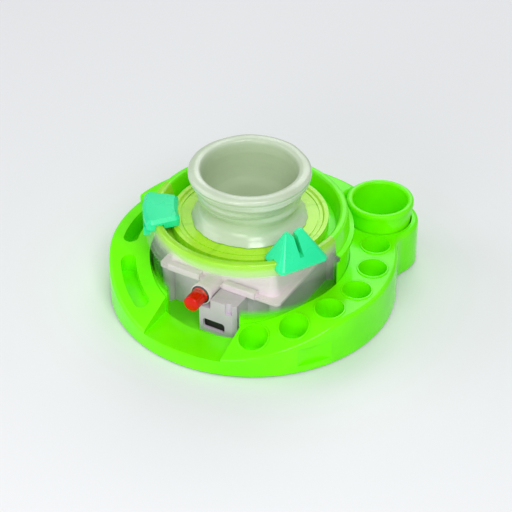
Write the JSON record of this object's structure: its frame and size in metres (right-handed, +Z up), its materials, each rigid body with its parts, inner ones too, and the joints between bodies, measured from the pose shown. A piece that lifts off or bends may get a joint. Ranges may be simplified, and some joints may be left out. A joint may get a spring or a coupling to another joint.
{
  "type": "pottery wheel",
  "caption": "Toy pottery wheel: round tray with paint wells, tool slots and a water cup, splash housing, geared wheel head under a clay pot, push button, clip-on hand rest and tool guide.",
  "frame": {"origin": "on the floor, under the middle of the bounding box", "axes": "+Z up along the wheel's axis, -Y towards the front with the push button, +X to the right with the paint wells"},
  "size_m": [0.212, 0.217, 0.1113],
  "materials": {
    "lime_plastic": "glossy lime moulding",
    "clear_lime": "clear moulding, lightly tinted lime",
    "yellow_lime": "glossy yellow-lime moulding",
    "teal_plastic": "glossy teal moulding",
    "wet_clay": "wet, glossy white clay",
    "pale_plastic": "pale lavender-white moulding",
    "red_plastic": "glossy red moulding",
    "dark_rubber": "matt rubber",
    "dark_plastic": "dark moulding",
    "nylon": "natural nylon",
    "screw_steel": "zinc-plated steel",
    "motor_steel": "pressed steel can",
    "bush_brass": "sintered bronze or brass",
    "cell_jacket": "printed cell jacket, left plain",
    "contact_metal": "plated spring metal"
  },
  "bodies": {
    "base": {"base_tray": "lime_plastic", "bottom_plate": "lime_plastic", "plate_screws": "screw_steel", "housing_screws": "screw_steel", "unit_screws": "screw_steel", "door_screw": "screw_steel", "rubber_feet": "dark_rubber", "rear_housing": "lime_plastic", "front_cover": "clear_lime", "motor_tub": "pale_plastic", "motor_lid": "pale_plastic", "button_tube": "pale_plastic", "port_liner": "dark_plastic", "gear_plate": "dark_plastic", "push_switch": "dark_plastic", "motor": "motor_steel", "idler_pin": "screw_steel", "lower_bush": "bush_brass", "upper_bush": "bush_brass", "cell_1": "cell_jacket", "cell_2": "cell_jacket", "cell_3": "cell_jacket", "cell_4": "cell_jacket", "battery_contacts": "contact_metal", "battery_door": "lime_plastic"},
    "wheel": {"wheel_head": "yellow_lime", "spindle": "screw_steel", "output_gear": "nylon"},
    "idler": {"idler_gear": "nylon"},
    "rotor": {"motor_shaft": "screw_steel", "motor_pinion": "bush_brass"},
    "button": {"red_button": "red_plastic"},
    "pot": {"clay_pot": "wet_clay"},
    "hand_rest": {"hand_rest": "teal_plastic"},
    "tool_guide": {"tool_guide": "teal_plastic"},
    "cup": {"water_cup": "lime_plastic"}
  },
  "joints": [
    {"name": "wheel_spin", "type": "hinge", "parent": "base", "child": "wheel", "pos_m": [0, -0.0075, 0.05], "axis": [0, 0, 1], "continuous": true},
    {"name": "idler_spin", "type": "hinge", "parent": "base", "child": "idler", "pos_m": [0.01925, 0.00598, 0.04], "axis": [0, 0, 1], "continuous": true},
    {"name": "rotor_spin", "type": "hinge", "parent": "base", "child": "rotor", "pos_m": [0.02533, -0.01672, 0.02], "axis": [0, 0, 1], "continuous": true},
    {"name": "button_press", "type": "slide", "parent": "base", "child": "button", "axis": [0, 1, 0], "range_m": [0, 0.003], "stiffness_N_per_m": 300, "springref_m": -0.002},
    {"name": "pot_lift", "type": "slide", "parent": "wheel", "child": "pot", "axis": [0, 0, 1], "range_m": [0, 0.05]},
    {"name": "hand_rest_lift", "type": "slide", "parent": "base", "child": "hand_rest", "axis": [0, 0, 1], "range_m": [0, 0.025]},
    {"name": "tool_guide_lift", "type": "slide", "parent": "base", "child": "tool_guide", "axis": [0, 0, 1], "range_m": [0, 0.025]},
    {"name": "cup_lift", "type": "slide", "parent": "base", "child": "cup", "axis": [0, 0, 1], "range_m": [0, 0.04]}
  ],
  "couplings": [
    {"joint": "idler_spin", "follows": "wheel_spin", "ratio": -4.8},
    {"joint": "rotor_spin", "follows": "wheel_spin", "ratio": 23.04}
  ]
}
